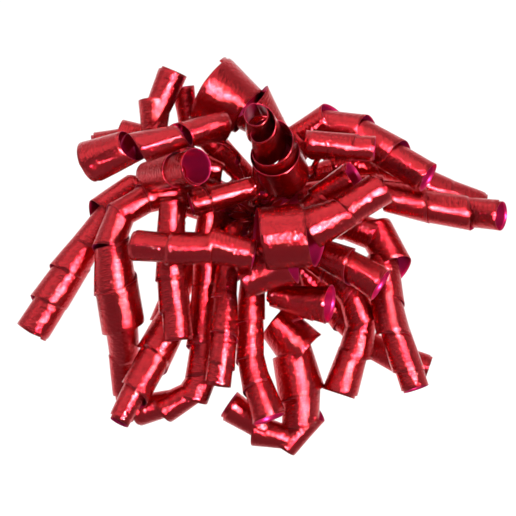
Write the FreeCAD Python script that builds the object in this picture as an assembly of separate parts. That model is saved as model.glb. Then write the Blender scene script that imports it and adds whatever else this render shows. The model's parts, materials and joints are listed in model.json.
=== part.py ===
"""Pre-made gift bow: springy curls of foil ribbon gathered on a self-adhesive back.

Millimetres, +Z up. The back lies in the plane y = 0 and faces +Y, the origin is its
centre, and the curls spread over the front, towards -Y.
"""
import FreeCAD, Part
import os
from math import cos, radians, sin

Vector = FreeCAD.Vector

# The self-adhesive back, from the outer face inwards.
LINER_THICKNESS = 0.1
PAD_THICKNESS = 1.0
CARD_THICKNESS = 0.5
LINER_RADIUS = 13.0
PAD_RADIUS = 12.5
CARD_RADIUS = 17.0
TAB_WIDTH = 9.0
TAB_REACH = 7.0

# The pinched middles of the ribbons, stacked on the card.
STACK_RADIUS = 4.0
STACK_DEPTH = 12.0

# The staple through the stack and the card.
WIRE_RADIUS = 0.35
STAPLE_SPAN = 5.0
CLINCH_LENGTH = 2.0

# The curls: the ribbon, the wall that stands for its turns, and the pinched neck of each.
RIBBON_WIDTH = 16.0
WALL = 0.5
CAP = 1.0
NECK_RADIUS = 0.8
NECK_GAP = 0.1
LANDING_REACH = 6.0
ROOT_TAPER = 0.75

CARD_FRONT = LINER_THICKNESS + PAD_THICKNESS + CARD_THICKNESS

# Where each curl leaves the stack: the angle from +X towards +Z, and the depth from the back.
PORTS = {
    "curl_left_back": (146, 3.0),
    "curl_left_tail": (168, 3.0),
    "curl_lower_right_back": (-58, 3.0),
    "curl_upper_back": (118, 3.0),
    "curl_right_upper_tail": (32, 3.0),
    "curl_top_left": (136, 6.2),
    "curl_top_wide": (92, 6.2),
    "curl_right_arch": (58, 6.2),
    "curl_right_tail": (20, 6.2),
    "curl_right_hanging": (-10, 6.2),
    "curl_lower_right_inner": (-40, 6.2),
    "curl_lower_hooked_right": (-72, 6.2),
    "curl_lower_left_slant": (-150, 6.2),
    "curl_left_hanging": (175, 6.2),
    "curl_left_upper": (112, 9.4),
    "curl_inner_right": (48, 9.4),
    "curl_right_low": (-28, 9.4),
    "curl_inner_right_low": (14, 9.4),
    "curl_inner_low": (-60, 9.4),
    "curl_lower_middle_right": (-92, 9.4),
    "curl_lower_middle": (-132, 9.4),
    "curl_lower_hooked_left": (-152, 9.4),
    "curl_lower_left_back": (178, 9.4),
    "curl_middle_left": (-122, 12.5),
    "curl_right_diagonal": (-40, 12.5),
    "curl_centre_facing": (78, 12.5),
    "curl_left_facing": (150, 12.5),
    "curl_inner_left": (115, 12.5),
}

# The pinched necks that reach the side of the first turn, as points after the port.
NECKS = {
    "curl_left_facing": [(-13, -24, 7), (-24, -30, 11)],
    "curl_left_upper": [(-6, -19, 13), (-9, -27, 20)],
    "curl_lower_left_back": [(-14, -15, 2.7), (-25, -26.5, 2.7)],
    "curl_middle_left": [(-4.5, -29, -6), (-9, -42, -9)],
    "curl_right_diagonal": [(6, -24, -6)],
    "curl_centre_facing": [(3, -18, 9)],
    "curl_inner_right": [(12, -19, 9), (19, -32, 16)],
    "curl_inner_left": [(-4, -21, 5)],
    "curl_inner_low": [(4.5, -19, -12), (8, -24, -22)],
}

# The turns of each curl, from the root to the free end: the middle of each as x, y, z, then its
# radius, then, where it isn't in line with its neighbours, the way that its open end faces.
TURNS = {
    "curl_left_back": [
        (-21, -7, 13, 4.4), (-32, -8, 22, 5), (-43.5, -9, 28, 5), (-52, -9.5, 25.7, 5),
    ],
    "curl_top_left": [
        (-22.5, -17.5, 18.8, 4.2), (-34, -19.5, 24, 5), (-38.3, -19.5, 33.8, 5.2),
        (-34, -19.5, 43.6, 5),
    ],
    "curl_upper_back": [
        (-10.5, -7.5, 19, 4.5), (-20, -10, 28.5, 4.2), (-27, -10.5, 38, 4, (-0.1, -0.05, 1)),
    ],
    "curl_top_wide": [
        (0.5, -13, 18, 4), (1.5, -15.5, 28, 5.2), (0, -18.5, 35, 7.6),
        (-12.3, -21.8, 40.8, 11.5, (-0.85, 0.12, 0.5)),
    ],
    "curl_centre_facing": [
        (6, -36, 17.8, 9.1, (-0.2, -0.85, 0.45)), (4.2, -43.5, 23.8, 7.6, (-0.15, -0.88, 0.42)),
        (-0.7, -50, 31.4, 5.3, (-0.1, -0.95, 0.3)),
    ],
    "curl_left_upper": [
        (-19.8, -43.5, 29.6, 4.4), (-35, -52, 24.8, 4.9),
        (-53.2, -44, 20.6, 6.8, (-0.84, 0.42, -0.34)),
    ],
    "curl_left_facing": [(-34.5, -38, 14.4, 6), (-27.5, -46.5, 15.4, 6.3)],
    "curl_left_tail": [
        (-24, -10.5, 3.5, 4.4), (-37.5, -12.5, 9, 5), (-50.5, -14, 7, 5),
        (-57.5, -14.5, -4, 5.2), (-64.5, -14.5, -13.5, 6), (-71, -14.5, -24, 6.7),
        (-77, -14.5, -34.5, 6.4),
    ],
    "curl_left_hanging": [
        (-21.5, -21.5, 8, 3.9), (-33.5, -25, 7.5, 4.8), (-43.3, -27, 4.3, 5),
        (-51, -28.5, -3.5, 5.3), (-52.2, -28, -18, 7.1), (-50, -26, -31.5, 7.9),
        (-49, -20, -43.5, 5.6), (-49.2, -14, -55, 4.6), (-48.8, -9.5, -65.5, 3.4),
    ],
    "curl_lower_left_slant": [
        (-18.5, -11.5, -11.5, 4.4), (-27.5, -13.5, -21.5, 4.8), (-32.5, -15.5, -33, 5),
        (-35, -22, -43.5, 6.3, (-0.42, -0.2, -0.88)), (-41, -28, -56, 5.8),
        (-46.3, -31, -65.5, 4.4),
    ],
    "curl_lower_left_back": [
        (-31.5, -34.8, -2.5, 4.9, (-0.05, 0, -1)), (-31.8, -34.8, -13.5, 5.2),
        (-31.3, -33, -24.5, 5.4), (-29.8, -33, -35.7, 5.4),
    ],
    "curl_lower_hooked_left": [
        (-19.5, -25, -6.5, 4.2, (-0.1, 0, -1)), (-19.8, -24, -16, 4.5), (-20.3, -23, -26.5, 4.7),
        (-20.8, -23, -37, 4.9),
        (-21, -23.5, -48, 5), (-21, -23.5, -58, 5.2), (-28.5, -23, -65, 4.9), (-37, -20.5, -67, 5),
    ],
    "curl_lower_middle": [
        (-10.5, -24.5, -11.5, 4, (-0.1, -0.15, -1)), (-12.8, -29, -23, 4.3), (-12.8, -34.5, -35, 4.7),
        (-13.3, -36, -44.5, 4.7), (-14.3, -36, -51.5, 4.7),
    ],
    "curl_lower_middle_right": [
        (-2.3, -20.5, -18, 4.2), (-3.7, -25.5, -30, 4.8), (-4.3, -26.5, -42.5, 4.8),
        (-3.8, -28, -52, 4.9), (-0.2, -30, -63.5, 5.6),
    ],
    "curl_lower_hooked_right": [
        (6.3, -12.5, -18.5, 4.3), (12, -15, -31, 5.4), (9.5, -18, -43, 7.2, (0.72, -0.1, -0.65)),
        (12.3, -18, -56, 8), (13.8, -18, -67, 7), (13, -18, -76.8, 4.8), (4, -18, -77.5, 4.8),
        (-5.2, -19, -71.2, 5.2),
    ],
    "curl_middle_left": [
        (-11, -51.5, -12, 5.9, (-0.95, 0.08, 0.22)), (-24, -50, -12, 5.9), (-36.5, -46.5, -11.3, 5.3),
    ],
    "curl_right_diagonal": [
        (0.3, -38.5, -18.3, 8.6, (0.87, -0.1, 0.48)), (8, -46, -7.7, 12.8, (1, 0, 0.02)),
        (23, -47, -2.5, 6.6), (35.3, -46, 5.1, 6.1),
    ],
    "curl_right_low": [(15.5, -27.5, -11, 4.2), (24.5, -34.5, -15, 5.7), (34.5, -37, -20.3, 5.9)],
    "curl_right_hanging": [
        (21.5, -12, -2.5, 4.6), (33.5, -14.5, -4.5, 5.4), (43.5, -17, -10, 6.5),
        (43.5, -21, -22.5, 5.7), (44.8, -25.5, -35.3, 5.9), (49, -27.5, -47.5, 5.5),
        (51.3, -28.5, -53.5, 5.1),
    ],
    "curl_lower_right_inner": [
        (16, -15.3, -14, 4.4), (26.5, -16.5, -21.5, 5), (33.5, -17.5, -31.5, 5.5),
        (34.5, -17.5, -43, 5.7), (29.5, -18, -55.3, 6),
    ],
    "curl_lower_right_back": [
        (13.5, -6, -19, 3.8), (23, -6.3, -30, 4.5), (32.5, -6.3, -40.5, 4.6),
        (42, -6.3, -48, 4.6), (52, -6.5, -52, 4.6),
    ],
    "curl_right_arch": [
        (11, -18.2, 20.3, 4.2), (16.3, -20.2, 30, 5.3), (27, -22.5, 31, 6.1), (39, -26, 25.3, 6.5),
        (51.3, -30, 16.8, 5.8),
    ],
    "curl_right_tail": [
        (22, -15.5, 8, 5), (36, -19, 9.2, 5.6), (50.5, -20.5, 5.5, 6), (65, -20, 2, 5.8),
        (77, -19, 0.6, 5.4, (0.88, -0.46, -0.04)),
    ],
    "curl_right_upper_tail": [
        (20.5, -6.8, 14.5, 4.4), (33, -9, 18, 5.2), (47, -10, 17.5, 5.8), (60, -9.8, 10.5, 5.6),
        (71, -9, 6, 5.2),
    ],
    "curl_inner_right": [(23.5, -46, 24, 4.7), (31, -46.5, 23, 4.4)],
    "curl_inner_right_low": [(16.5, -28, 2, 4.4), (26, -32, 9.5, 5.6, (0.8, -0.3, 0.4))],
    "curl_inner_left": [(-10.5, -38, 7.3, 4.4), (-17, -38.5, 5.6, 4.4)],
    "curl_inner_low": [(11, -29.5, -29.5, 5.2), (16, -31, -30.2, 5.8)],
}


def disc(radius, start, thickness):
    """A disc on the Y axis, from a depth behind the back plane, forwards."""
    return Part.makeCylinder(radius, thickness, Vector(0, -start, 0), Vector(0, -1, 0))


def rod(start, end, radius):
    """A round rod between two points."""
    return Part.makeCylinder(radius, (end - start).Length, start, end - start)


def bent_rod(points, radius):
    """Round rods through points, with a ball at each bend."""
    shape = rod(points[0], points[1], radius)
    for start, end in zip(points[1:], points[2:]):
        shape = shape.fuse(Part.makeSphere(radius, start))
        shape = shape.fuse(rod(start, end, radius))
    return shape.removeSplitter()


def release_liner():
    """Silicone paper over the adhesive, with a finger tab at the bottom."""
    paper = disc(LINER_RADIUS, 0, LINER_THICKNESS)
    tab_corner = Vector(-TAB_WIDTH / 2, -LINER_THICKNESS, -LINER_RADIUS - TAB_REACH + TAB_WIDTH / 2)
    tab = Part.makeBox(TAB_WIDTH, LINER_THICKNESS, LINER_RADIUS + TAB_REACH - TAB_WIDTH / 2, tab_corner)
    tab_end = disc(TAB_WIDTH / 2, 0, LINER_THICKNESS)
    tab_end.translate(Vector(0, 0, tab_corner.z))
    return paper.fuse([tab, tab_end]).removeSplitter()


def staple():
    """Crown over the stack, legs through it and the card, and ends folded in behind the card."""
    half = STAPLE_SPAN / 2
    crown = CARD_FRONT + STACK_DEPTH + WIRE_RADIUS
    clinch = LINER_THICKNESS + PAD_THICKNESS - WIRE_RADIUS
    path = [
        Vector(-half + CLINCH_LENGTH, -clinch, 0),
        Vector(-half, -clinch, 0),
        Vector(-half, -crown, 0),
        Vector(half, -crown, 0),
        Vector(half, -clinch, 0),
        Vector(half - CLINCH_LENGTH, -clinch, 0),
    ]
    return bent_rod(path, WIRE_RADIUS)


def foam_pad(wire):
    """Double-sided foam, pressed hollow where the folded staple ends lie."""
    return disc(PAD_RADIUS, LINER_THICKNESS, PAD_THICKNESS).cut(wire)


def card_disc(wire):
    """Card that the stack is stapled to."""
    return disc(CARD_RADIUS, LINER_THICKNESS + PAD_THICKNESS, CARD_THICKNESS).cut(wire)


def gathered_middles(wire):
    """The pinched middles of all the ribbons, pressed into one round stack."""
    return disc(STACK_RADIUS, CARD_FRONT, STACK_DEPTH).cut(wire)


def tapered_tube(centres, ways, radii):
    """A solid of straight runs between rings, each ring square to its way."""
    rings = []
    side = Vector(0, -1, 0)
    for centre, way, radius in zip(centres, ways, radii):
        side = (side - way * side.dot(way)).normalize()
        circle = Part.Circle(centre, way, radius)
        circle.XAxis = side
        rings.append(Part.Wire(circle.toShape()))
    return Part.makeLoft(rings, True, True)


def turn_ways(turns):
    """The way that each turn faces: the given one, or in line with its neighbours."""
    centres = [Vector(*turn[:3]) for turn in turns]
    padded = [centres[0]] + centres + [centres[-1]]
    in_line = [(after - before).normalize() for before, after in zip(padded, padded[2:])]
    given = [turn[4] if len(turn) > 4 else None for turn in turns]
    return [Vector(*way).normalize() if way else line for way, line in zip(given, in_line)]


def port(name):
    """Where a curl's neck starts, just off the side of the stack."""
    angle, depth = PORTS[name]
    reach = STACK_RADIUS + NECK_GAP + NECK_RADIUS
    return Vector(reach * cos(radians(angle)), -depth, reach * sin(radians(angle)))


def landing(point, centre, way, radius):
    """The spot on a turn's wall that is nearest to a point beside it."""
    along = (point - centre).dot(way)
    reach = max(-LANDING_REACH, min(LANDING_REACH, along))
    outward = (point - centre - way * along).normalize()
    return centre + way * reach + outward * (radius - WALL / 2)


def curl(name):
    """One curl: a pinched neck, and turns that stand as one tapered tube with an open end."""
    turns = TURNS[name]
    ways = turn_ways(turns)
    root = Vector(*turns[0][:3]) - ways[0] * (RIBBON_WIDTH / 2)
    mouth = Vector(*turns[-1][:3]) + ways[-1] * (RIBBON_WIDTH / 2)
    middles = [Vector(*turn[:3]) for turn in turns]
    radii = [turn[3] for turn in turns]
    neck_points = [port(name)] + [Vector(*point) for point in NECKS.get(name, [])]
    bore_start = root - ways[0]
    if name in NECKS:
        neck_points.append(landing(neck_points[-1], middles[0], ways[0], radii[0]))
    else:
        neck_points.append(root + ways[0] * (CAP / 2))
        bore_start = root + ways[0] * CAP
    ways = [ways[0]] + ways + [ways[-1]]
    root_radius = radii[0] if name in NECKS else radii[0] * ROOT_TAPER
    radii = [root_radius] + radii + [radii[-1]]
    inner_radii = [radius - WALL for radius in radii]
    outside = tapered_tube([root] + middles + [mouth], ways, radii)
    bore = tapered_tube([bore_start] + middles + [mouth + ways[-1]], ways, inner_radii)
    return outside.fuse(bent_rod(neck_points, NECK_RADIUS)).cut(bore)


def main_solid(shape):
    """The one solid of a shape, or a stop if it came apart."""
    solids = sorted(shape.Solids, key=lambda solid: solid.Volume)
    if len(solids) != 1:
        raise ValueError(f"expected one solid, found {[round(s.Volume, 3) for s in solids]}")
    return solids[0]


def build():
    """Every sub-part, by name."""
    wire = staple()
    parts = {
        "release_liner": release_liner(),
        "foam_pad": foam_pad(wire),
        "card_disc": card_disc(wire),
        "staple": wire,
        "gathered_middles": gathered_middles(wire),
    }
    for name in TURNS:
        parts[name] = curl(name)
    return parts


os.makedirs("parts", exist_ok=True)
for name, shape in build().items():
    main_solid(shape).exportStep(f"parts/{name}.step")
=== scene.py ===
"""The looks of a gift bow: curls of red foil ribbon around a stapled, self-adhesive back.

Metres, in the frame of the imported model. Routes are written in millimetres and scaled by MM.
"""
import json
import random
from math import cos, pi, radians, sin, sqrt

import bpy
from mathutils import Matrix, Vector, noise


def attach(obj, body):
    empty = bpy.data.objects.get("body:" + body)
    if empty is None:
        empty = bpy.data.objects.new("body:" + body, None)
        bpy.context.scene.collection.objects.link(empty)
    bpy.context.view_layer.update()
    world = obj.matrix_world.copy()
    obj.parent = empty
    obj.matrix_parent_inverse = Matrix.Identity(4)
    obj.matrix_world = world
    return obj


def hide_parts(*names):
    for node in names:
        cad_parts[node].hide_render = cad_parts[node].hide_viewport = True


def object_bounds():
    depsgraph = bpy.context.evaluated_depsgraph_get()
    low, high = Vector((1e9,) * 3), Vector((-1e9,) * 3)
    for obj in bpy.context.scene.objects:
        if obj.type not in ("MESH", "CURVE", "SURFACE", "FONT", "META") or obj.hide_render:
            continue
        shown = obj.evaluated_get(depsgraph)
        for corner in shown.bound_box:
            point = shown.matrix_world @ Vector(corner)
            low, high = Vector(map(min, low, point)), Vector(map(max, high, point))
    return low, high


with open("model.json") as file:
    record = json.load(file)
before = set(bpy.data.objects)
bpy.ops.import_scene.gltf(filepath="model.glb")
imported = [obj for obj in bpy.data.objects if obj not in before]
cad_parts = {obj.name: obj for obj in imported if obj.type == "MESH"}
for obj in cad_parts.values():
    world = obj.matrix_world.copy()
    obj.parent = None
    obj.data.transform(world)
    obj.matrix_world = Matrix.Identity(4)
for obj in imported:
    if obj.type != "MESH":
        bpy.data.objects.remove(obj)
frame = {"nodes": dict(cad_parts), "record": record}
cad_low, cad_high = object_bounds()

MM = 0.001

# The ribbon, and the stack that its narrowed neck leaves.
RIBBON_WIDTH = 16 * MM
FILM = 0.12 * MM
NECK_WIDTH = 3 * MM
NECK_RADIUS = 0.9 * MM
STACK_RADIUS = 4 * MM
PORT_GAP = 0.4 * MM

# How finely a ribbon is meshed, along each turn and across its width.
TURN_STEPS = 56
WIDTH_STEPS = 12

# How a curl is wound. Each turn is a slight cone, and its first turn is doubled by a tighter one
# inside it. STEP_SHARE of the way to the next turn is covered in the middle STEP_SPAN of a turn.
CONE = 0.045
FLARE_SHARE = 0.75
DOUBLED_BACK = 0.8  # mm
DOUBLED_INSET = 0.3 * MM
STEP_SHARE = 0.55
SMOOTH_STEP_SHARE = 0.1
STEP_START = 0.2
STEP_SPAN = 0.6
LAST_TURN = 0.8
LAST_TURN_EXTRA = (0.05, 0.3)
END_TUCK = 0.6 * MM

# How unevenly it is wound.
CENTRE_DRIFT = 0.25 * MM
WAY_DRIFT = 0.05
RADIUS_SHARES = (0.94, 1.0)
SEED_RANGE = 50
WAVE_HEIGHT = 0.14  # mm
WAVES_PER_TURN = 3.1
WAVES_ACROSS = 90

# Texture lengths for each metre along the ribbon, and for its whole width.
TEXTURE_ALONG = 10
TEXTURE_ACROSS = 0.15

# The steps between turns lie at the back of a curl, away from its front. One curl is wound
# smoothly, because its open end faces the front.
TOWARDS_VIEW = Vector((0, -1, 0))
SMOOTH_WOUND = ("curl_centre_facing",)
SMOOTH_FRONT = Vector((-0.4, -0.3, 0.9)).normalized()

# The foil's embossed grain, drawn out along the ribbon, its uneven gloss and its clear lacquer.
FOIL_GRAIN_DEPTH = 0.16 * MM
FOIL_GRAIN_STRETCH = (0.4, 1, 1)
FOIL_UNEVEN = 0.03
FOIL_COAT_ROUGHNESS = 0.04

# The depth of paper fibres, and how much darker the mottling of paper gets.
FIBRE_DEPTH = 0.1 * MM
PAPER_SHADE = 0.88

# The studio: metres from the middle of the bow's back.
LOOK_AT = (0, -0.02, -0.01)
FLOOR_DROP = 0.03
FLOOR_FRONT = -1.3
FLOOR_BACK = 1.6
BACKDROP_BEND = 0.5
BACKDROP_TOP = 3.6
STAGE_HALF_WIDTH = 2.6
BEND_STEPS = 12

# The stage's paper is dim in front of the bow and glows behind it; the change lies between two
# depths.
GLOW_START = -0.03
GLOW_END = 0.06
DIM_PAPER = 0.18
LIT_PAPER = 0.1
DIM_GLOW = 0.08
FULL_GLOW = 0.97

# The room is dark in front and pale all round, by the Y part of the direction looked in.
ROOM_DARK_Y = -0.5
ROOM_PALE_Y = 0.02
ROOM_DARK = 0.01
ROOM_PALE = 0.55

# The camera, and how much it sees.
CAMERA_DISTANCE = 1.2
CAMERA_X = -0.0014
CAMERA_Z = -0.01505
SEEN_WIDTH = 0.1806
SEEN_PLANE = -0.028
SENSOR_WIDTH = 36

# Where each curl leaves the stack: the angle from +X towards +Z, and the depth from the back.
PORTS = {
    "curl_left_back": (146, 3.0),
    "curl_left_tail": (168, 3.0),
    "curl_lower_right_back": (-58, 3.0),
    "curl_upper_back": (118, 3.0),
    "curl_right_upper_tail": (32, 3.0),
    "curl_top_left": (136, 6.2),
    "curl_top_wide": (92, 6.2),
    "curl_right_arch": (58, 6.2),
    "curl_right_tail": (20, 6.2),
    "curl_right_hanging": (-10, 6.2),
    "curl_lower_right_inner": (-40, 6.2),
    "curl_lower_hooked_right": (-72, 6.2),
    "curl_lower_left_slant": (-150, 6.2),
    "curl_left_hanging": (175, 6.2),
    "curl_left_upper": (112, 9.4),
    "curl_inner_right": (48, 9.4),
    "curl_right_low": (-28, 9.4),
    "curl_inner_right_low": (14, 9.4),
    "curl_inner_low": (-60, 9.4),
    "curl_lower_middle_right": (-92, 9.4),
    "curl_lower_middle": (-132, 9.4),
    "curl_lower_hooked_left": (-152, 9.4),
    "curl_lower_left_back": (178, 9.4),
    "curl_middle_left": (-122, 12.5),
    "curl_right_diagonal": (-40, 12.5),
    "curl_centre_facing": (78, 12.5),
    "curl_left_facing": (150, 12.5),
    "curl_inner_left": (115, 12.5),
}

# The pinched necks that reach the side of the first turn, as points after the port.
NECKS = {
    "curl_left_facing": [(-13, -24, 7), (-24, -30, 11)],
    "curl_left_upper": [(-6, -19, 13), (-9, -27, 20)],
    "curl_lower_left_back": [(-14, -15, 2.7), (-25, -26.5, 2.7)],
    "curl_middle_left": [(-4.5, -29, -6), (-9, -42, -9)],
    "curl_right_diagonal": [(6, -24, -6)],
    "curl_centre_facing": [(3, -18, 9)],
    "curl_inner_right": [(12, -19, 9), (19, -32, 16)],
    "curl_inner_left": [(-4, -21, 5)],
    "curl_inner_low": [(4.5, -19, -12), (8, -24, -22)],
}

# The turns of each curl, from the root to the free end: the middle of each as x, y, z, then its
# radius, then, where it isn't in line with its neighbours, the way that its open end faces.
TURNS = {
    "curl_left_back": [
        (-21, -7, 13, 4.4), (-32, -8, 22, 5), (-43.5, -9, 28, 5), (-52, -9.5, 25.7, 5),
    ],
    "curl_top_left": [
        (-22.5, -17.5, 18.8, 4.2), (-34, -19.5, 24, 5), (-38.3, -19.5, 33.8, 5.2),
        (-34, -19.5, 43.6, 5),
    ],
    "curl_upper_back": [
        (-10.5, -7.5, 19, 4.5), (-20, -10, 28.5, 4.2), (-27, -10.5, 38, 4, (-0.1, -0.05, 1)),
    ],
    "curl_top_wide": [
        (0.5, -13, 18, 4), (1.5, -15.5, 28, 5.2), (0, -18.5, 35, 7.6),
        (-12.3, -21.8, 40.8, 11.5, (-0.85, 0.12, 0.5)),
    ],
    "curl_centre_facing": [
        (6, -36, 17.8, 9.1, (-0.2, -0.85, 0.45)), (4.2, -43.5, 23.8, 7.6, (-0.15, -0.88, 0.42)),
        (-0.7, -50, 31.4, 5.3, (-0.1, -0.95, 0.3)),
    ],
    "curl_left_upper": [
        (-19.8, -43.5, 29.6, 4.4), (-35, -52, 24.8, 4.9),
        (-53.2, -44, 20.6, 6.8, (-0.84, 0.42, -0.34)),
    ],
    "curl_left_facing": [(-34.5, -38, 14.4, 6), (-27.5, -46.5, 15.4, 6.3)],
    "curl_left_tail": [
        (-24, -10.5, 3.5, 4.4), (-37.5, -12.5, 9, 5), (-50.5, -14, 7, 5),
        (-57.5, -14.5, -4, 5.2), (-64.5, -14.5, -13.5, 6), (-71, -14.5, -24, 6.7),
        (-77, -14.5, -34.5, 6.4),
    ],
    "curl_left_hanging": [
        (-21.5, -21.5, 8, 3.9), (-33.5, -25, 7.5, 4.8), (-43.3, -27, 4.3, 5),
        (-51, -28.5, -3.5, 5.3), (-52.2, -28, -18, 7.1), (-50, -26, -31.5, 7.9),
        (-49, -20, -43.5, 5.6), (-49.2, -14, -55, 4.6), (-48.8, -9.5, -65.5, 3.4),
    ],
    "curl_lower_left_slant": [
        (-18.5, -11.5, -11.5, 4.4), (-27.5, -13.5, -21.5, 4.8), (-32.5, -15.5, -33, 5),
        (-35, -22, -43.5, 6.3, (-0.42, -0.2, -0.88)), (-41, -28, -56, 5.8),
        (-46.3, -31, -65.5, 4.4),
    ],
    "curl_lower_left_back": [
        (-31.5, -34.8, -2.5, 4.9, (-0.05, 0, -1)), (-31.8, -34.8, -13.5, 5.2),
        (-31.3, -33, -24.5, 5.4), (-29.8, -33, -35.7, 5.4),
    ],
    "curl_lower_hooked_left": [
        (-19.5, -25, -6.5, 4.2, (-0.1, 0, -1)), (-19.8, -24, -16, 4.5), (-20.3, -23, -26.5, 4.7),
        (-20.8, -23, -37, 4.9), (-21, -23.5, -48, 5), (-21, -23.5, -58, 5.2),
        (-28.5, -23, -65, 4.9), (-37, -20.5, -67, 5),
    ],
    "curl_lower_middle": [
        (-10.5, -24.5, -11.5, 4, (-0.1, -0.15, -1)), (-12.8, -29, -23, 4.3),
        (-12.8, -34.5, -35, 4.7), (-13.3, -36, -44.5, 4.7), (-14.3, -36, -51.5, 4.7),
    ],
    "curl_lower_middle_right": [
        (-2.3, -20.5, -18, 4.2), (-3.7, -25.5, -30, 4.8), (-4.3, -26.5, -42.5, 4.8),
        (-3.8, -28, -52, 4.9), (-0.2, -30, -63.5, 5.6),
    ],
    "curl_lower_hooked_right": [
        (6.3, -12.5, -18.5, 4.3), (12, -15, -31, 5.4), (9.5, -18, -43, 7.2, (0.72, -0.1, -0.65)),
        (12.3, -18, -56, 8), (13.8, -18, -67, 7), (13, -18, -76.8, 4.8), (4, -18, -77.5, 4.8),
        (-5.2, -19, -71.2, 5.2),
    ],
    "curl_middle_left": [
        (-11, -51.5, -12, 5.9, (-0.95, 0.08, 0.22)), (-24, -50, -12, 5.9),
        (-36.5, -46.5, -11.3, 5.3),
    ],
    "curl_right_diagonal": [
        (0.3, -38.5, -18.3, 8.6, (0.87, -0.1, 0.48)), (8, -46, -7.7, 12.8, (1, 0, 0.02)),
        (23, -47, -2.5, 6.6), (35.3, -46, 5.1, 6.1),
    ],
    "curl_right_low": [(15.5, -27.5, -11, 4.2), (24.5, -34.5, -15, 5.7), (34.5, -37, -20.3, 5.9)],
    "curl_right_hanging": [
        (21.5, -12, -2.5, 4.6), (33.5, -14.5, -4.5, 5.4), (43.5, -17, -10, 6.5),
        (43.5, -21, -22.5, 5.7), (44.8, -25.5, -35.3, 5.9), (49, -27.5, -47.5, 5.5),
        (51.3, -28.5, -53.5, 5.1),
    ],
    "curl_lower_right_inner": [
        (16, -15.3, -14, 4.4), (26.5, -16.5, -21.5, 5), (33.5, -17.5, -31.5, 5.5),
        (34.5, -17.5, -43, 5.7), (29.5, -18, -55.3, 6),
    ],
    "curl_lower_right_back": [
        (13.5, -6, -19, 3.8), (23, -6.3, -30, 4.5), (32.5, -6.3, -40.5, 4.6),
        (42, -6.3, -48, 4.6), (52, -6.5, -52, 4.6),
    ],
    "curl_right_arch": [
        (11, -18.2, 20.3, 4.2), (16.3, -20.2, 30, 5.3), (27, -22.5, 31, 6.1), (39, -26, 25.3, 6.5),
        (51.3, -30, 16.8, 5.8),
    ],
    "curl_right_tail": [
        (22, -15.5, 8, 5), (36, -19, 9.2, 5.6), (50.5, -20.5, 5.5, 6), (65, -20, 2, 5.8),
        (77, -19, 0.6, 5.4, (0.88, -0.46, -0.04)),
    ],
    "curl_right_upper_tail": [
        (20.5, -6.8, 14.5, 4.4), (33, -9, 18, 5.2), (47, -10, 17.5, 5.8), (60, -9.8, 10.5, 5.6),
        (71, -9, 6, 5.2),
    ],
    "curl_inner_right": [(23.5, -46, 24, 4.7), (31, -46.5, 23, 4.4)],
    "curl_inner_right_low": [(16.5, -28, 2, 4.4), (26, -32, 9.5, 5.6, (0.8, -0.3, 0.4))],
    "curl_inner_left": [(-10.5, -38, 7.3, 4.4), (-17, -38.5, 5.6, 4.4)],
    "curl_inner_low": [(11, -29.5, -29.5, 5.2), (16, -31, -30.2, 5.8)],
}


# ---------------------------------------------------------------- ribbon curls

def port(name):
    """Where the ribbon leaves the side of the stack."""
    angle, depth = PORTS[name]
    reach = STACK_RADIUS + PORT_GAP
    return Vector((reach * cos(radians(angle)), -depth * MM, reach * sin(radians(angle))))


def eased(f):
    """A share from 0 to 1 that starts and ends gently."""
    f = min(1, max(0, f))
    return f * f * (3 - 2 * f)


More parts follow.
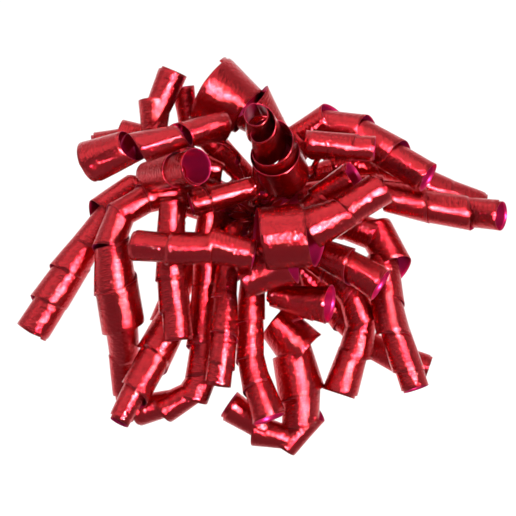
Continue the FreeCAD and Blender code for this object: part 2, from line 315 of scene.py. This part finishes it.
class Curl:
    """A ribbon wound in turns, each nearly a straight tube, with its steps at the back."""

    def __init__(self, name, hand, front):
        """The curl's centre line, radii and directions; hand is 1 or -1, the way it is wound."""
        self.draw = random.Random(name)
        self.hand = hand
        self.front = front
        turns = TURNS[name]
        neck = [port(name)] + [Vector(point) * MM for point in NECKS.get(name, [])]
        centres = [Vector(turn[:3]) * MM for turn in turns]
        doubled = centres[0] - (centres[1] - centres[0]).normalized() * DOUBLED_BACK * MM
        self.first = len(neck)
        drifted = [centre + self.draw_vector(CENTRE_DRIFT) for centre in centres]
        self.points = neck + [doubled] + drifted
        sizes = [turn[3] * MM * self.draw.uniform(*RADIUS_SHARES) for turn in turns]
        self.radii = [NECK_RADIUS] * len(neck) + [sizes[0] - DOUBLED_INSET] + sizes
        self.widths = [NECK_WIDTH] * len(neck) + [RIBBON_WIDTH] * (len(turns) + 1)
        self.last = len(self.points) - 1
        self.length = self.last + LAST_TURN + self.draw.uniform(*LAST_TURN_EXTRA)
        self.step_share = SMOOTH_STEP_SHARE if name in SMOOTH_WOUND else STEP_SHARE
        self.seed = self.draw_vector(SEED_RANGE)
        given = [None] * (len(neck) + 1)
        given += [turn[4] if len(turn) > 4 else None for turn in turns]
        self.ways = [self.way(index, given[index]) for index in range(self.last + 1)]
        self.ways[self.first] = self.ways[self.first + 1]
        self.flares = [self.flare(index) for index in range(self.last + 1)]

    def draw_vector(self, size):
        """A random vector: no two turns lie quite in line."""
        return Vector([self.draw.uniform(-size, size) for _ in range(3)])

    def way(self, index, given):
        """The way that a turn faces: the given one, or in line with its neighbours."""
        before = max(index - 1, self.first if index > self.first else 0)
        line = self.points[min(index + 1, self.last)] - self.points[before]
        return (Vector(given or line).normalized() + self.draw_vector(WAY_DRIFT)).normalized()

    def flare(self, index):
        """How fast a turn's radius grows along its axis."""
        if index <= self.first:
            return CONE
        before, after = max(index - 1, self.first + 1), min(index + 1, self.last)
        run = (self.points[after] - self.points[before]).length
        return CONE + FLARE_SHARE * (self.radii[after] - self.radii[before]) / run

    def step(self, turn):
        """The turn's index, and the share of the way to the next one."""
        index = min(int(turn), self.last - 1)
        f = min(turn - index, 1.0)
        if index >= self.first - 1:
            stepped = eased((f - STEP_START) / STEP_SPAN)
            f = f * (1 - self.step_share) + stepped * self.step_share
        return index, f

    def place(self, turn, column):
        """A point of the film, in a column from edge to edge; a narrowed ribbon is pleated."""
        index, f = self.step(turn)
        after = index + 1
        width = self.widths[index] + (self.widths[after] - self.widths[index]) * f
        across = width * (column / WIDTH_STEPS - 0.5)
        flat_step = RIBBON_WIDTH / WIDTH_STEPS
        pleat = sqrt(max(0, flat_step ** 2 - (width / WIDTH_STEPS) ** 2)) / 2
        pleat = pleat if column % 2 else -pleat
        centre = self.points[index].lerp(self.points[after], f)
        way = self.ways[index].slerp(self.ways[after], f)
        out = (self.front - way * self.front.dot(way)).normalized()
        side = way.cross(out)
        angle = self.hand * 2 * pi * turn
        radius = self.radii[index] + (self.radii[after] - self.radii[index]) * f
        flare = self.flares[index] + (self.flares[after] - self.flares[index]) * f
        radius = max(radius + flare * across, NECK_RADIUS) + pleat
        radius -= max(0, turn - self.last) * END_TUCK
        wave = Vector((turn * WAVES_PER_TURN, across * WAVES_ACROSS, 0))
        radius += noise.noise(self.seed + wave) * WAVE_HEIGHT * MM
        return centre + way * across + (out * cos(angle) + side * sin(angle)) * radius


def centre_rows(curl):
    """The film's middle surface: for each step along the ribbon, a row of points across it."""
    step_count = round(curl.length * TURN_STEPS)
    turns = [curl.length * step / step_count for step in range(step_count + 1)]
    return [[curl.place(turn, column) for column in range(WIDTH_STEPS + 1)] for turn in turns]


def thickened(rows, hand):
    """The points of both sides of the film, the outside first."""
    vertices = []
    last = len(rows) - 1
    for side in (1, -1):
        for r, row in enumerate(rows):
            for c, point in enumerate(row):
                along = rows[min(r + 1, last)][c] - rows[max(r - 1, 0)][c]
                across = row[min(c + 1, WIDTH_STEPS)] - row[max(c - 1, 0)]
                outward = (across.cross(along) * -hand).normalized()
                vertices.append(point + outward * (side * FILM / 2))
    return vertices


def marks_along(rows):
    """How far along the ribbon's middle each row lies."""
    marks = [0.0]
    middle = WIDTH_STEPS // 2
    for a, b in zip(rows, rows[1:]):
        marks.append(marks[-1] + (b[middle] - a[middle]).length)
    return marks


def film_faces(step_count, hand):
    """The faces, with a material slot for each: outside, reverse and cut edges are 0, 1 and 2."""
    columns = WIDTH_STEPS + 1
    half = (step_count + 1) * columns
    faces, slots = [], []
    for r in range(step_count):
        for c in range(WIDTH_STEPS):
            a = r * columns + c
            quad = (a, a + 1, a + columns + 1, a + columns)[::hand]
            faces += [quad[::-1], tuple(v + half for v in quad)]
            slots += [0, 1]
    border = [(r, 0) for r in range(step_count)]
    border += [(step_count, c) for c in range(WIDTH_STEPS)]
    border += [(r, WIDTH_STEPS) for r in range(step_count, 0, -1)]
    border += [(0, c) for c in range(WIDTH_STEPS, 0, -1)]
    ring = [r * columns + c for r, c in border]
    for a, b in zip(ring, ring[1:] + ring[:1]):
        quad = (a, b, b + half, a + half)[::hand]
        faces.append(quad[::-1])
        slots.append(2)
    return faces, slots


def film_mesh(name, curl):
    """The ribbon as a thin closed solid, and its length."""
    rows = centre_rows(curl)
    vertices = thickened(rows, curl.hand)
    faces, slots = film_faces(len(rows) - 1, curl.hand)
    mesh = bpy.data.meshes.new(name)
    mesh.from_pydata(vertices, [], faces)
    mesh.polygons.foreach_set("material_index", slots)
    mesh.polygons.foreach_set("use_smooth", [slot < 2 for slot in slots])
    marks = marks_along(rows)
    columns = WIDTH_STEPS + 1
    layer = mesh.uv_layers.new(name="ribbon")
    for loop in mesh.loops:
        row, column = divmod(loop.vertex_index % (len(rows) * columns), columns)
        place = (marks[row] * TEXTURE_ALONG, column / WIDTH_STEPS * TEXTURE_ACROSS)
        layer.data[loop.index].uv = place
    mesh.update()
    return mesh, marks[-1]


# ---------------------------------------------------------------- materials

def new_material(name):
    """A new node material, with its tree and its Principled shader."""
    material = bpy.data.materials.new(name)
    material.use_nodes = True
    tree = material.node_tree
    shader = tree.nodes["Principled BSDF"]
    return material, tree, shader


def add(tree, kind, links=(), **values):
    """A node with named attributes or inputs set, and (from socket, input name) links made."""
    node = tree.nodes.new(kind)
    for key, value in values.items():
        if hasattr(node, key):
            setattr(node, key, value)
        else:
            node.inputs[key.replace("_", " ")].default_value = value
    for socket, target in links:
        tree.links.new(socket, node.inputs[target])
    return node


def ramp(tree, socket, low, high):
    """A value remapped from 0..1 to low..high."""
    node = add(tree, "ShaderNodeMapRange", [(socket, "Value")])
    node.inputs["To Min"].default_value = low
    node.inputs["To Max"].default_value = high
    return node.outputs["Result"]


def smooth_change(tree, socket, start, end, low=0.0, high=1.0):
    """A value that goes smoothly from low to high as the socket goes from start to end."""
    node = add(tree, "ShaderNodeMapRange", [(socket, "Value")], interpolation_type="SMOOTHSTEP")
    node.inputs["From Min"].default_value = start
    node.inputs["From Max"].default_value = end
    node.inputs["To Min"].default_value = low
    node.inputs["To Max"].default_value = high
    return node.outputs["Result"]


def foil_material(name, deep, bright, grain, roughness, metallic, coat):
    """Metallised film: embossed grain, slight tint drift and uneven gloss."""
    material, tree, shader = new_material(name)
    place = add(tree, "ShaderNodeUVMap", uv_map="ribbon").outputs["UV"]
    drawn = add(tree, "ShaderNodeMapping", [(place, "Vector")])
    drawn.inputs["Scale"].default_value = FOIL_GRAIN_STRETCH
    cells = add(tree, "ShaderNodeTexVoronoi", [(drawn.outputs[0], "Vector")], Scale=150.0)
    dust = add(tree, "ShaderNodeTexNoise", [(drawn.outputs[0], "Vector")], Scale=380.0, Detail=2.0)
    drift = add(tree, "ShaderNodeTexNoise", [(place, "Vector")], Scale=9.0, Detail=3.0)
    height = add(tree, "ShaderNodeMath",
                 [(cells.outputs["Distance"], 0), (dust.outputs["Fac"], 1)])
    bump = add(tree, "ShaderNodeBump", [(height.outputs[0], "Height")],
               Strength=grain, Distance=FOIL_GRAIN_DEPTH)
    tree.links.new(bump.outputs["Normal"], shader.inputs["Normal"])
    tree.links.new(bump.outputs["Normal"], shader.inputs["Coat Normal"])
    tint = add(tree, "ShaderNodeMix", [(drift.outputs["Fac"], "Factor")], data_type="RGBA")
    tint.inputs[6].default_value = (*deep, 1)
    tint.inputs[7].default_value = (*bright, 1)
    tree.links.new(tint.outputs[2], shader.inputs["Base Color"])
    gloss = ramp(tree, dust.outputs["Fac"], roughness - FOIL_UNEVEN, roughness + FOIL_UNEVEN)
    tree.links.new(gloss, shader.inputs["Roughness"])
    shader.inputs["Metallic"].default_value = metallic
    shader.inputs["Coat Weight"].default_value = coat
    shader.inputs["Coat Roughness"].default_value = FOIL_COAT_ROUGHNESS
    shader.inputs["Specular Tint"].default_value = (*[0.5 + 0.5 * c for c in bright], 1)
    return material


def paper_material(name, colour, roughness, scale):
    """Card, foam or paper: fine fibres as bump, and mottled colour."""
    material, tree, shader = new_material(name)
    place = add(tree, "ShaderNodeTexCoord").outputs["Object"]
    fibre = add(tree, "ShaderNodeTexNoise", [(place, "Vector")], Scale=scale, Detail=6.0)
    bump = add(tree, "ShaderNodeBump", [(fibre.outputs["Fac"], "Height")],
               Strength=0.5, Distance=FIBRE_DEPTH)
    tree.links.new(bump.outputs["Normal"], shader.inputs["Normal"])
    tint = add(tree, "ShaderNodeMix", [(fibre.outputs["Fac"], "Factor")], data_type="RGBA")
    tint.inputs[6].default_value = (*[c * PAPER_SHADE for c in colour], 1)
    tint.inputs[7].default_value = (*colour, 1)
    tree.links.new(tint.outputs[2], shader.inputs["Base Color"])
    shader.inputs["Roughness"].default_value = roughness
    return material


def card_material(foil_colour):
    """White card, with its front covered in red film."""
    material = paper_material("white_card", (0.82, 0.80, 0.76), 0.8, 1200.0)
    tree = material.node_tree
    card = tree.nodes["Principled BSDF"]
    film = add(tree, "ShaderNodeBsdfPrincipled", Metallic=1.0, Roughness=0.35)
    film.inputs["Base Color"].default_value = (*foil_colour, 1)
    normal = add(tree, "ShaderNodeTexCoord").outputs["Normal"]
    facing = add(tree, "ShaderNodeSeparateXYZ", [(normal, 0)])
    front = add(tree, "ShaderNodeMath", [(facing.outputs["Y"], 0)], operation="LESS_THAN")
    front.inputs[1].default_value = 0.5
    mix = add(tree, "ShaderNodeMixShader",
              [(front.outputs[0], 0), (card.outputs[0], 1), (film.outputs[0], 2)])
    tree.links.new(mix.outputs[0], tree.nodes["Material Output"].inputs["Surface"])
    return material


def wire_material():
    """Drawn steel wire, with fine lines along it."""
    material, tree, shader = new_material("steel_wire")
    place = add(tree, "ShaderNodeTexCoord").outputs["Object"]
    scratch = add(tree, "ShaderNodeTexNoise", [(place, "Vector")], Scale=2600.0, Detail=3.0)
    tree.links.new(ramp(tree, scratch.outputs["Fac"], 0.2, 0.42), shader.inputs["Roughness"])
    shader.inputs["Base Color"].default_value = (0.68, 0.68, 0.70, 1)
    shader.inputs["Metallic"].default_value = 1
    return material


# ---------------------------------------------------------------- pieces

def body_of(node):
    """The CAD body that a node belongs to."""
    bodies = frame["record"]["behaviour"]["bodies"]
    return next(body for body, members in bodies.items() if node in members)


def add_curls(materials):
    """Every curl as its own ribbon."""
    for number, name in enumerate(TURNS):
        front = SMOOTH_FRONT if name in SMOOTH_WOUND else TOWARDS_VIEW
        curl = Curl(name, 1 if number % 3 else -1, front)
        mesh, length = film_mesh(name.replace("curl_", "ribbon_"), curl)
        for material in materials:
            mesh.materials.append(material)
        piece = bpy.data.objects.new(mesh.name, mesh)
        bpy.context.scene.collection.objects.link(piece)
        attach(piece, body_of(name))
        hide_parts(name)


def dress_back():
    """Materials for the CAD pieces of the back."""
    looks = {
        "release_liner": paper_material("silicone_paper", (0.86, 0.80, 0.66), 0.35, 900.0),
        "foam_pad": paper_material("white_foam", (0.86, 0.86, 0.84), 0.9, 2200.0),
        "card_disc": card_material((0.45, 0.008, 0.02)),
        "staple": wire_material(),
    }
    for node, material in looks.items():
        mesh = frame["nodes"][node].data
        mesh.materials.clear()
        mesh.materials.append(material)


def dress_stack(foil):
    """The gathered middles are the same foil as the curls."""
    mesh = frame["nodes"]["gathered_middles"].data
    mesh.materials.clear()
    mesh.materials.append(foil)


# ---------------------------------------------------------------- studio

def area_light(name, place, size, radiance):
    """A soft light, of a given brightness in reflections, aimed at LOOK_AT."""
    data = bpy.data.lights.new(name, "AREA")
    data.shape = "RECTANGLE"
    data.size, data.size_y = size
    data.energy = radiance * pi * size[0] * size[1]
    light = bpy.data.objects.new(name, data)
    light.location = place
    aim = Vector(LOOK_AT) - Vector(place)
    light.rotation_euler = aim.to_track_quat("-Z", "Y").to_euler()
    bpy.context.scene.collection.objects.link(light)


def stage_profile(floor):
    """The floor from front to back, then the bend and the backdrop, as depth and height."""
    profile = [(FLOOR_FRONT, floor), (FLOOR_BACK, floor)]
    for step in range(1, BEND_STEPS + 1):
        angle = radians(90) * step / BEND_STEPS
        depth = FLOOR_BACK + BACKDROP_BEND * sin(angle)
        profile.append((depth, floor + BACKDROP_BEND * (1 - cos(angle))))
    profile.append((FLOOR_BACK + BACKDROP_BEND, BACKDROP_TOP))
    return profile


def stage_material():
    """Pale paper that glows white from under the bow to the back, and is dim in front of it."""
    material, tree, shader = new_material("stage_paper")
    place = add(tree, "ShaderNodeTexCoord").outputs["Object"]
    mottle = add(tree, "ShaderNodeTexNoise", [(place, "Vector")], Scale=3.0)
    tree.links.new(ramp(tree, mottle.outputs["Fac"], 0.85, 0.9), shader.inputs["Roughness"])
    depth = add(tree, "ShaderNodeSeparateXYZ", [(place, 0)]).outputs["Y"]
    share = smooth_change(tree, depth, GLOW_START, GLOW_END)
    shade = add(tree, "ShaderNodeMix", [(share, "Factor")], data_type="RGBA")
    shade.inputs[6].default_value = (DIM_PAPER, DIM_PAPER, DIM_PAPER, 1)
    shade.inputs[7].default_value = (LIT_PAPER, LIT_PAPER, LIT_PAPER, 1)
    tree.links.new(shade.outputs[2], shader.inputs["Base Color"])
    shader.inputs["Emission Color"].default_value = (1, 1, 1, 1)
    tree.links.new(ramp(tree, share, DIM_GLOW, FULL_GLOW), shader.inputs["Emission Strength"])
    return material


def add_stage(low):
    """A pale floor that curves up into a bright pale backdrop."""
    profile = stage_profile(low.z - FLOOR_DROP)
    vertices = [(x, y, z) for y, z in profile for x in (-STAGE_HALF_WIDTH, STAGE_HALF_WIDTH)]
    faces = [(2 * i, 2 * i + 1, 2 * i + 3, 2 * i + 2) for i in range(len(profile) - 1)]
    mesh = bpy.data.meshes.new("stage")
    mesh.from_pydata(vertices, [], faces)
    mesh.polygons.foreach_set("use_smooth", [True] * len(faces))
    mesh.materials.append(stage_material())
    stage = bpy.data.objects.new("stage", mesh)
    bpy.context.scene.collection.objects.link(stage)


def add_camera():
    """A long lens, square to the front of the bow, that sees SEEN_WIDTH at depth SEEN_PLANE."""
    data = bpy.data.cameras.new("camera")
    data.sensor_width = SENSOR_WIDTH
    data.lens = SENSOR_WIDTH * (CAMERA_DISTANCE + SEEN_PLANE) / SEEN_WIDTH
    data.clip_start = 0.05
    camera = bpy.data.objects.new("camera", data)
    camera.location = (CAMERA_X, -CAMERA_DISTANCE, CAMERA_Z)
    camera.rotation_euler = (radians(90), 0, 0)
    bpy.context.scene.collection.objects.link(camera)
    bpy.context.scene.camera = camera


def add_room():
    """Pale walls all round, except for the dark part of the room in front of the bow."""
    world = bpy.data.worlds.new("room")
    world.use_nodes = True
    tree = world.node_tree
    way = add(tree, "ShaderNodeTexCoord").outputs["Generated"]
    depth = add(tree, "ShaderNodeSeparateXYZ", [(way, 0)]).outputs["Y"]
    walls = smooth_change(tree, depth, ROOM_DARK_Y, ROOM_PALE_Y, ROOM_DARK, ROOM_PALE)
    background = tree.nodes["Background"]
    tree.links.new(walls, background.inputs["Strength"])
    background.inputs["Color"].default_value = (1, 1, 1, 1)
    bpy.context.scene.world = world


def add_lights():
    """Soft lights to the left, above, in front and on the right, and one small bright key."""
    area_light("left_softbox", (-0.75, -0.5, 0.45), (0.5, 0.7), 1.3)
    area_light("top_softbox", (-0.1, -0.3, 0.9), (0.8, 0.4), 1.4)
    area_light("right_strip", (0.9, -0.35, 0.1), (0.15, 0.8), 0.9)
    area_light("front_panel", (0.0, -0.9, 0.55), (1.3, 0.8), 1.25)
    area_light("front_key", (0.44, -1.1, -0.18), (0.24, 0.32), 620.0)


outside = foil_material("red_foil", (0.5, 0.005, 0.014), (0.62, 0.012, 0.026),
                        grain=1.0, roughness=0.1, metallic=1.0, coat=0.6)
reverse = foil_material("magenta_reverse", (0.42, 0.006, 0.07), (0.52, 0.012, 0.10),
                        grain=0.12, roughness=0.3, metallic=0.85, coat=0.2)
edge = foil_material("cut_edge", (0.30, 0.01, 0.03), (0.40, 0.02, 0.05),
                     grain=0.1, roughness=0.45, metallic=0.4, coat=0.0)
add_curls([outside, reverse, edge])
dress_back()
dress_stack(outside)
add_stage(cad_low)
add_camera()
add_room()
add_lights()
bpy.context.scene.view_settings.view_transform = "Standard"
